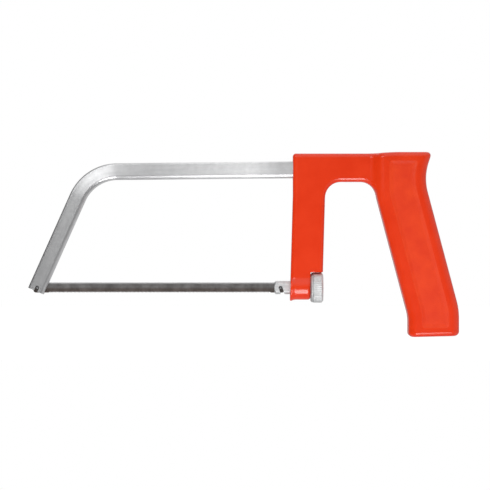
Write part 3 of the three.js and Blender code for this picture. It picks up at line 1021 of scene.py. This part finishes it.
def make_lock_pin():
    outer = lock_radius - lock_play
    inner = outer - lock_wall
    start_out, start_in = [math.asin(lock_slit / 2 / radius) for radius in (outer, inner)]
    out = [(outer, t) for t in np.linspace(start_out, 2 * math.pi - start_out, 48)]
    back = [(inner, t) for t in np.linspace(2 * math.pi - start_in, start_in, 48)]
    outline = [(lock_x + r * math.cos(t), lock_z + r * math.sin(t)) for r, t in out + back]
    return prism("spring_pin", outline, lock_low[1] + lock_floor, lock_high[1])


dress(make_lock_pin(), "bow_lock_pin", "frame", pin_finish)

# %% [markdown]
# ## Geometry Nodes for what repeats
# The nut's knurl, the screw's thread and the blade's teeth are one small shape many times over. Each is a
# node tree with named inputs, so its pitch or count can be changed in one place. The result is baked to a
# plain mesh at the end, because other programs can't read the tree.

# %% Helpers for geometry trees


def new_tree(name, inputs):
    """A geometry tree, links to its named inputs, and a helper that ends it."""
    tree = bpy.data.node_groups.new(name, "GeometryNodeTree")
    sockets = {"Geometry": "Geometry", **inputs, "Material": "Material"}
    for label, kind in sockets.items():
        tree.interface.new_socket(label, in_out="INPUT", socket_type=f"NodeSocket{kind}")
    tree.interface.new_socket("Geometry", in_out="OUTPUT", socket_type="NodeSocketGeometry")
    start = tree.nodes.new("NodeGroupInput")
    given = {label: Link(start.outputs[label]) for label in sockets}

    def end_with(geometry):
        solid = add_node("GeometryNodeRealizeInstances", Geometry=geometry)
        painted = add_node("GeometryNodeSetMaterial", Geometry=solid, Material=given["Material"])
        add_node("NodeGroupOutput", Geometry=painted)
        return tree

    return tree, given, end_with


def welded_copies(points, shape, **turns):
    """A shape on every point, as one mesh with its seams closed."""
    copies = add_node("GeometryNodeInstanceOnPoints", Points=points, Instance=shape, **turns)
    solid = add_node("GeometryNodeRealizeInstances", Geometry=copies)
    return add_node("GeometryNodeMergeByDistance", Geometry=solid, Distance=2e-6)


def grow(piece, tree, material, **values):
    """Runs a tree on a piece with its inputs set, and bakes the result."""
    modifier = piece.modifiers.new(tree.name, "NODES")
    modifier.node_group = tree
    values["Material"] = material
    for item in tree.interface.items_tree:
        label = item.name.replace(" ", "_")
        if item.in_out == "INPUT" and label in values:
            modifier[item.identifier] = values[label]
    return bake_modifiers(piece)


# %% [markdown]
# The knurl is rolled into the rim as straight ridges. The nut's rear end is chamfered, while its front,
# which bears on the washer, only has its edge broken. One slice of the nut holds one ridge. The tree sets
# the slice on as many points as there are ridges, all of them on the axis, turns each one further round,
# and welds the seams.

# %% Ring of slices


def ring_tree():
    tree, given, end_with = new_tree("slices_round_an_axis", {"Count": "Int", "Axis Point": "Vector"})
    line = add_node("GeometryNodeMeshLine", Count=given["Count"], Offset=(0, 0, 0))
    on_axis = add_node("GeometryNodeSetPosition", Geometry=line, Position=given["Axis Point"])
    step = calc("DIVIDE", 2 * math.pi, given["Count"])
    turn = add_node("ShaderNodeCombineXYZ", X=add_node("GeometryNodeInputIndex", tree=tree) * step)
    return end_with(welded_copies(on_axis, given["Geometry"], Rotation=turn))


# %% Knurled nut
knurl_ridges = 48
knurl_depth = 0.2
nut_front, nut_rear = 0.25, 1.05
nut_lead = 0.4
chamfer_dip = 0.1


def nut_slice():
    """One ridge of the knurl, from the bore out to the rim, open where the next slice begins."""
    low, high = node_box("tension_nut")
    rim, bore, length = high[2], bolt_radius + bore_gap, high[0] - low[0]
    mouth = bore + nut_lead
    columns = []
    for share in np.linspace(-0.5, 0.5, 9):
        top = rim - knurl_depth * (0.5 - 0.5 * math.cos(2 * math.pi * share))
        profile = [
            (mouth, 0), (rim - nut_front - chamfer_dip, 0),
            (top, nut_front), (top, length - nut_rear),
            (rim - nut_rear - chamfer_dip, length), (mouth, length),
            (bore, length - nut_lead), (bore, nut_lead),
        ]
        turn = share * 2 * math.pi / knurl_ridges
        columns.append([(low[0] + x, r * math.sin(turn), r * math.cos(turn)) for r, x in profile])
    points = [point for column in columns for point in column]
    piece = mesh_object("knurled_nut", points, skin(len(columns), len(columns[0])))
    piece.data.transform(Matrix.Translation(-Vector((0, 0, screw_height))))
    return piece


nut = grow(nut_slice(), ring_tree(), bright_finish, Count=knurl_ridges, Axis_Point=(0, 0, screw_height))
shade(nut, sharp_angle=40)
dress(nut, "tension_nut", "tension_nut", bright_finish)

# %% [markdown]
# The screw's thread is a ridge that climbs round a rod. Instead of winding a profile along a helix, which
# leaves loose ends, the tree takes a fine cylinder and moves each point in or out by how far it is along
# the rod less how far it is round: that share of a pitch gives the ridge. It also chamfers both ends and
# presses the two flats in. The front of the rod stays plain, because the nut never runs there.

# %% Thread by formula
root_share, crest_share = 0.06, 0.42


def thread_tree():
    sizes = ["Pitch", "Depth", "Radius", "Flats", "Flats End", "Thread Start", "Front", "End", "Chamfer"]
    inputs = dict.fromkeys([*sizes, "Axis Height"], "Float")
    tree, given, end_with = new_tree("screw_thread", inputs)

    x, y, height = split(add_node("GeometryNodeInputPosition", tree=tree))
    z = height - given["Axis Height"]
    climb = x / given["Pitch"] - calc("ARCTAN2", z, y) / (2 * math.pi)
    crest = spread(calc("PINGPONG", climb, 0.5), root_share, crest_share)
    started = add_node("ShaderNodeClamp", Value=(x - given["Thread Start"]) / given["Pitch"])
    sunk = calc("SUBTRACT", 1.0, crest) * given["Depth"] * started
    from_end = calc("MINIMUM", x - given["Front"], given["End"] - x)
    radius = given["Radius"] - calc("MAXIMUM", sunk, given["Chamfer"] - from_end)

    drawn = calc("MAXIMUM", calc("SQRT", y * y + z * z), 1e-6)
    scale = calc("MINIMUM", radius / drawn, given["Radius"] / 1e-3)
    new_y, new_z = y * scale, z * scale
    half_flats = given["Flats"] * 0.5
    pressed = calc("MAXIMUM", calc("MINIMUM", new_y, half_flats), half_flats * -1.0)
    flat_y = mix_values(calc("LESS_THAN", x, given["Flats End"]), new_y, pressed)
    moved = add_node("ShaderNodeCombineXYZ", X=x, Y=flat_y, Z=new_z + given["Axis Height"])
    return end_with(add_node("GeometryNodeSetPosition", Geometry=given["Geometry"], Position=moved))


# %% A plain rod
thread_pitch = 1.25
thread_depth = 0.55
thread_steps = 12
bolt_chamfer = 0.8
thread_start = 8.0
loose_turns = 3


def plain_rod(name, front, end, radius, step, count=72):
    """A fine closed cylinder on the screw's axis."""
    places = np.linspace(front, end, math.ceil((end - front) / step) + 1)
    points = [(x, y, z) for x in places for y, z in circle(0, 0, radius, count)]
    faces = [face[::-1] for face in tube(len(places), count)]
    return mesh_object(name, points, faces)


def threaded_rod(front, end):
    def at(place):
        return origin[0] + place * mm

    flats_end = guide_length + thread_pitch * loose_turns + bolt_chamfer
    rod = plain_rod("tension_screw", front, end, bolt_radius, thread_pitch / thread_steps)
    return grow(
        rod, thread_tree(), bright_finish,
        Pitch=thread_pitch * mm, Depth=thread_depth * mm, Radius=bolt_radius * mm, Flats=bolt_flats * mm,
        Flats_End=at(flats_end), Thread_Start=at(thread_start), Front=at(front), End=at(end),
        Chamfer=bolt_chamfer * mm, Axis_Height=screw_height,
    )


# %% [markdown]
# The screw's front is slotted for the blade, and a slanted notch takes the blade's rear pin. Slackening the
# nut lets the screw move forward, and the slant then pushes the pin down and out.

# %% Tension screw
notch_slant = math.radians(18)


def make_bolt():
    low, high = node_box("tension_bolt")
    front, tall = low[0], 2 * bolt_radius
    bolt = threaded_rod(front, high[0])
    tail_drop = bolt_radius + blade_depth / 2
    slot_end = node_box("saw_blade")[1][0] + tail_drop * math.tan(notch_slant) + 2 * slot_gap
    slot = [(front - cut_margin, -tall), (slot_end, -tall), (slot_end, tall), (front - cut_margin, tall)]
    notch = groove_outline(pin_radius + pin_gap, tall)
    notch = turn_outline(notch, notch_slant, rear_pin[0], rear_pin[2])
    cut_with(
        bolt,
        prism("slot_cutter", slot, -slot_width / 2, slot_width / 2),
        prism("notch_cutter", notch, -tall, tall),
    )
    shade(bolt, sharp_angle=28)
    return bolt


dress(make_bolt(), "tension_bolt", "tension_bolt", bright_finish)

# %% [markdown]
# ## The blade
# A junior blade has about 32 teeth to the inch. They point to the toe, and the whole lower edge is pressed
# into a gentle wave, so that the cut is wider than the steel. One slice with one tooth is set along a line,
# welded to the next, and then the tree bends the lower edge from side to side.

# %% Tooth tree


def teeth_tree():
    sizes = ["Pitch", "First", "Wave Length", "Wave Height", "Wave Top", "Wave Bottom"]
    tree, given, end_with = new_tree("toothed_edge", {"Count": "Int", **dict.fromkeys(sizes, "Float")})

    offset = add_node("ShaderNodeCombineXYZ", X=given["Pitch"])
    line = add_node("GeometryNodeMeshLine", Count=given["Count"], Offset=offset)
    strip = welded_copies(line, given["Geometry"])
    x, _, z = split(add_node("GeometryNodeInputPosition", tree=tree))
    wave = calc("SINE", (x - given["First"]) / given["Wave Length"] * (2 * math.pi))
    share = spread(z, given["Wave Top"], given["Wave Bottom"], interpolation_type="SMOOTHSTEP")
    sideways = add_node("ShaderNodeCombineXYZ", Y=wave * given["Wave Height"] * share)
    return end_with(add_node("GeometryNodeSetPosition", Geometry=strip, Offset=sideways))


# %% Sizes of the teeth
tooth_pitch = 0.8
tooth_depth = 0.5
tooth_face, tooth_tip = 0.1, 0.2
gullet_start, gullet_rise = 0.72, 0.06
teeth_per_wave = 4
wave_height = 0.14
wave_depth = 1.1
plain_end = 9
blade_start, blade_end = node_box("saw_blade")
half_depth = blade_depth / 2
tooth_root = tooth_depth - half_depth
teeth_end = blade_end[0] - plain_end
wave_count = math.floor((teeth_end - blade_start[0] - plain_end) / tooth_pitch / teeth_per_wave)
tooth_count = wave_count * teeth_per_wave
teeth_start = teeth_end - tooth_count * tooth_pitch
wave_top = tooth_root + wave_depth
rows = [half_depth, wave_top, (wave_top + tooth_root) / 2, tooth_root]
print("teeth:", tooth_count)

# %% The toothed strip


def both_sides(name, flat, faces, rim):
    """A flat drawing with its faces on both sides of the blade, and walls along the given edges."""
    count = len(flat)
    points = [(x, y, z) for y in (-blade_gauge / 2, blade_gauge / 2) for x, z in flat]
    sheets = [tuple(face) for face in faces] + [tuple(i + count for i in face[::-1]) for face in faces]
    walls = [(a, b, b + count, a + count) for a, b in rim]
    return mesh_object(name, points, sheets + walls)


def tooth_slice():
    """One pitch of the blade, from its back down to one tooth, open where the next slices meet it."""
    tip = [(tooth_face, -half_depth), (tooth_tip, -half_depth)]
    gullet = [(gullet_start, tooth_root + gullet_rise), (1, tooth_root)]
    edge = [(0, tooth_root), *tip, *gullet]
    spots = [(share, z) for z in rows[:-1] for share in (0, 1)] + edge
    flat = [(teeth_start + share * tooth_pitch, z) for share, z in spots]
    faces = [(0, 2, 3, 1), (2, 4, 5, 3), (4, 6, 7, 8, 9, 10, 5)]
    return both_sides("saw_blade_strip", flat, faces, [(0, 1), *((i + 1, i) for i in range(6, 10))])


toothed = grow(
    tooth_slice(), teeth_tree(), blade_finish,
    Count=tooth_count, Pitch=tooth_pitch * mm, First=origin[0] + teeth_start * mm,
    Wave_Length=teeth_per_wave * tooth_pitch * mm, Wave_Height=wave_height * mm,
    Wave_Top=origin[2] + wave_top * mm, Wave_Bottom=origin[2] + tooth_root * mm,
)
print("toothed strip:", len(toothed.data.polygons), "faces")

# %% [markdown]
# The two ends are plain, with rounded corners and a hole for the pin. Each is a flat drawing, filled round
# its hole and then given its thickness. Welded to the toothed strip they make one closed blade.

# %% Ends of the blade
blade_corner = 1.6
press_fit = 0.02


def blade_end_sheet(pin, tip, seam, side):
    """The filled outline of one plain end, as points, triangles and open edges in the XZ plane."""
    outline = [(seam, z, 0) for z in rows]
    outline.append((seam + side * tooth_pitch, -half_depth, 0))
    outline += [(tip, -half_depth, blade_corner), (tip, half_depth, blade_corner)]
    loops = round_corners(outline, arc_step=math.radians(10)), circle(pin[0], pin[2], pin_radius - press_fit)
    work = bmesh.new()
    for loop in loops:
        verts = [work.verts.new((x, 0, z)) for x, z in loop]
        for a, b in zip(verts, verts[1:] + verts[:1]):
            work.edges.new((a, b))
    bmesh.ops.triangle_fill(work, edges=work.edges, use_beauty=True, normal=(0, -1, 0))
    work.verts.index_update()
    flat = [(v.co.x, v.co.z) for v in work.verts]
    faces = [[v.index for v in face.verts] for face in work.faces]
    rims = [(edge.verts[0].index, edge.verts[1].index) for edge in work.edges if edge.is_boundary]
    work.free()
    return flat, faces, rims


def thick_end(name, pin, tip, seam, side):
    """Both flat sides of an end and its rim, left open at the seam."""
    flat, faces, rims = blade_end_sheet(pin, tip, seam, side)
    on_seam = [abs(x - seam) < 1e-3 for x, _ in flat]
    return both_sides(name, flat, faces, [(a, b) for a, b in rims if not (on_seam[a] and on_seam[b])])


# %% Weld the blade


def weld(name, *parts):
    """Several meshes joined into one, with their shared points merged."""
    work = bmesh.new()
    for part in parts:
        work.from_mesh(part.data)
    bmesh.ops.remove_doubles(work, verts=work.verts, dist=3e-6)
    mesh = bpy.data.meshes.new(name)
    work.to_mesh(mesh)
    open_edges = sum(not edge.is_manifold for edge in work.edges)
    work.free()
    for part in parts:
        bpy.data.objects.remove(part)
    print(f"{name}: {open_edges} open edges")
    return add_object(name, mesh)


toe_end = thick_end("toe_end", front_pin, blade_start[0], teeth_start, -1)
tail_end = thick_end("tail_end", rear_pin, blade_end[0], teeth_end, 1)
blade = weld("toothed_blade", toothed, toe_end, tail_end)
shade(blade, sharp_angle=25)
dress(blade, "saw_blade", "blade_set", blade_finish)

# %% [markdown]
# ## Stage, light and camera
# The saw is shown on white. A pale floor takes its shadow, and camera rays see floor and sky as plain
# white. A metal face shows what is in front of it, so rays that bounce off gloss see a studio: dim in front
# and to the left, bright overhead, with a little light from below, from the right and from behind. Matt
# surfaces get an even light that is stronger from above and behind. Two soft lamps add the lines of light
# on the edges.

# %% Floor
floor_reach, floor_front = 0.7, -0.3


def white_floor():
    """A matt white that camera rays see as mostly glowing."""
    material = bpy.data.materials.new("floor_white")
    material.use_nodes = True
    tree = material.node_tree
    tree.nodes.clear()
    matt = add_node("ShaderNodeBsdfDiffuse", tree=tree, Color=(0.86, 0.86, 0.86, 1))
    glow = add_node("ShaderNodeEmission", tree=tree, Strength=1.1)
    seen = add_node("ShaderNodeLightPath", "Is Camera Ray", tree=tree) * 0.85
    add_node("ShaderNodeOutputMaterial", Surface=add_node("ShaderNodeMixShader", i0=seen, i1=matt, i2=glow))
    return material


def make_floor():
    mesh = bpy.data.meshes.new("floor")
    near, far = [[(x, y, 0) for x in (-floor_reach, floor_reach)] for y in (floor_front, floor_reach)]
    mesh.from_pydata(near + far[::-1], [], [(0, 1, 2, 3)])
    mesh.materials.append(white_floor())
    floor = add_object("floor", mesh)
    floor.visible_shadow = False
    floor.visible_glossy = False
    print("floor:", 2 * floor_reach, "m wide")


make_floor()

# %% Sky


def make_sky():
    world = bpy.data.worlds.new("studio")
    bpy.context.scene.world = world
    world.use_nodes = True
    tree = world.node_tree
    tree.nodes.clear()
    x, y, z = split(add_node("ShaderNodeTexCoord", "Generated", tree=tree))

    top = spread(z, 0.2, 0.8, 0.13, 1.0) * spread(x, -0.1, -0.6, 1.0, 0.18)
    under = spread(z, -0.2, -0.8, 0.0, 0.3)
    right = spread(x, 0.4, 0.95, 0.0, 0.35)
    back = spread(y, 0.3, 0.9, 0.0, 0.3)
    mirrored = top + under + (right + back)
    even = spread(y, 0.2, 1.0, 0.25, 0.75) + spread(z, 0.0, 1.0)

    kinds = ("Camera", "Transmission", "Glossy")
    direct, through, glossy = [add_node("ShaderNodeLightPath", f"Is {kind} Ray", tree=tree) for kind in kinds]
    level = mix_values(glossy, even, mirrored)
    level = mix_values(calc("MAXIMUM", direct, through), level, 1.0)
    light = add_node("ShaderNodeBackground", Color=(1, 1, 1, 1), Strength=level)
    add_node("ShaderNodeOutputWorld", Surface=light)
    print("sky:", world.name)


make_sky()

# %% Lamps
saw_middle = Vector((0, 0, 0.055))


def softbox(name, place, size, watts):
    """A rectangular lamp that looks at the middle of the saw."""
    lamp = bpy.data.lights.new(name, "AREA")
    lamp.shape = "RECTANGLE"
    lamp.size, lamp.size_y = size
    lamp.energy = watts
    piece = add_object(name, lamp)
    piece.location = place
    piece.rotation_euler = (saw_middle - Vector(place)).to_track_quat("-Z", "Y").to_euler()
    piece.visible_camera = False
    print(f"{name}: {watts} W")


softbox("upper_left", (-0.68, -1.25, 0.66), (1.1, 0.7), 6.4)
softbox("low_front", (0.06, -0.9, -0.7), (0.25, 0.8), 6.0)

# %% [markdown]
# The photograph looks straight at the side of the saw through a long lens, so upright lines stay upright.
# The camera stands level with the picture's middle, and its lens makes the picture as wide as the saw needs.

# %% Camera
picture_width = 292.5
picture_middle = (-27.0, 25.4)
camera_distance = 1500
camera_data = bpy.data.cameras.new("camera")
camera_data.lens = camera_data.sensor_width * camera_distance / picture_width
camera = add_object("camera", camera_data)
camera.location = to_frame((picture_middle[0], -camera_distance, picture_middle[1]))
camera.rotation_euler = (math.pi / 2, 0, 0)
bpy.context.scene.camera = camera
bpy.context.scene.view_settings.view_transform = "Standard"
print(f"lens: {camera_data.lens:.0f} mm")
